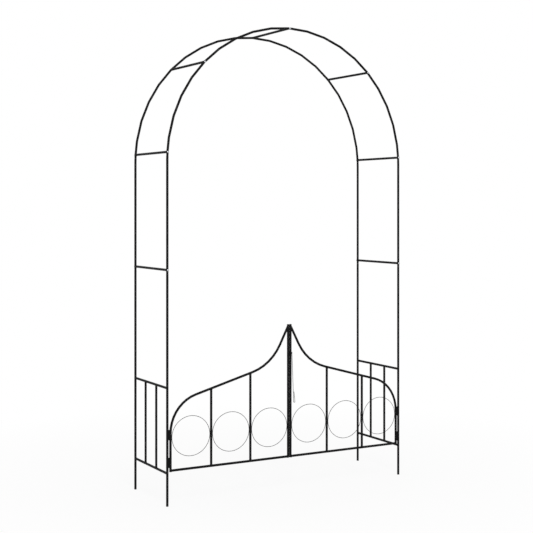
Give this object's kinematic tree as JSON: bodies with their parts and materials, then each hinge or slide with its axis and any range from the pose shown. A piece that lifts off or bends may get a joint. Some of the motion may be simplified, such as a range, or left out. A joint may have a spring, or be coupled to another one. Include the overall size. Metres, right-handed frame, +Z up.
{
  "type": "garden arch with gate",
  "caption": "Walk-through garden arch of bolted round steel tube, with ladder sides and a low two-leaf gate of bars and wire rings under a curved top rail, held shut by a throw-over latch.",
  "frame": {"origin": "on the ground, midway between the four leg ends", "axes": "+Z up; X across the path, +X to the right of someone facing the gate from outside; Y along the path, with the gate on the -Y side"},
  "size_m": [1.38, 0.4118, 2.365],
  "materials": {
    "powder_coat": "satin powder coat",
    "zinc": "bright zinc plate"
  },
  "bodies": {
    "frame": {"left_front_leg": "powder_coat", "left_front_post": "powder_coat", "left_front_arc": "powder_coat", "left_front_middle_screw": "zinc", "left_front_upper_screw": "zinc", "left_front_shoulder_screw": "zinc", "left_rear_leg": "powder_coat", "left_rear_post": "powder_coat", "left_rear_arc": "powder_coat", "left_rear_middle_screw": "zinc", "left_rear_upper_screw": "zinc", "left_rear_shoulder_screw": "zinc", "left_middle_crossbar": "powder_coat", "left_upper_crossbar": "powder_coat", "left_shoulder_crossbar": "powder_coat", "left_side_panel": "powder_coat", "left_lower_hinge_leg_leaf": "powder_coat", "left_upper_hinge_leg_leaf": "powder_coat", "right_front_leg": "powder_coat", "right_front_post": "powder_coat", "right_front_arc": "powder_coat", "right_front_middle_screw": "zinc", "right_front_upper_screw": "zinc", "right_front_shoulder_screw": "zinc", "right_rear_leg": "powder_coat", "right_rear_post": "powder_coat", "right_rear_arc": "powder_coat", "right_rear_middle_screw": "zinc", "right_rear_upper_screw": "zinc", "right_rear_shoulder_screw": "zinc", "right_middle_crossbar": "powder_coat", "right_upper_crossbar": "powder_coat", "right_shoulder_crossbar": "powder_coat", "right_side_panel": "powder_coat", "right_lower_hinge_leg_leaf": "powder_coat", "right_upper_hinge_leg_leaf": "powder_coat", "top_crossbar": "powder_coat", "front_top_screw": "zinc", "rear_top_screw": "zinc"},
    "left_leaf": {"left_gate_frame": "powder_coat", "left_gate_meeting_stile": "powder_coat", "left_gate_bottom_rail": "powder_coat", "left_gate_bar_1": "powder_coat", "left_gate_bar_2": "powder_coat", "left_gate_ring_1": "powder_coat", "left_gate_ring_2": "powder_coat", "left_gate_ring_3": "powder_coat", "left_lower_hinge_gate_leaf": "powder_coat", "left_upper_hinge_gate_leaf": "powder_coat"},
    "right_leaf": {"right_gate_frame": "powder_coat", "right_gate_meeting_stile": "powder_coat", "right_gate_bottom_rail": "powder_coat", "right_gate_bar_1": "powder_coat", "right_gate_bar_2": "powder_coat", "right_gate_ring_1": "powder_coat", "right_gate_ring_2": "powder_coat", "right_gate_ring_3": "powder_coat", "right_lower_hinge_gate_leaf": "powder_coat", "right_upper_hinge_gate_leaf": "powder_coat"},
    "latch": {"latch_arm": "powder_coat"}
  },
  "joints": [
    {"name": "left_gate_swing", "type": "hinge", "parent": "frame", "child": "left_leaf", "pos_m": [-0.6755, -0.2038, 0.278], "axis": [0, 0, -1], "range_deg": [-25, 180]},
    {"name": "right_gate_swing", "type": "hinge", "parent": "frame", "child": "right_leaf", "pos_m": [0.6755, -0.2038, 0.278], "axis": [0, 0, 1], "range_deg": [-25, 180]},
    {"name": "latch_swing", "type": "hinge", "parent": "right_leaf", "child": "latch", "pos_m": [0.007, -0.20385, 0.7], "axis": [0, 1, 0], "range_deg": [-267, 60]}
  ]
}
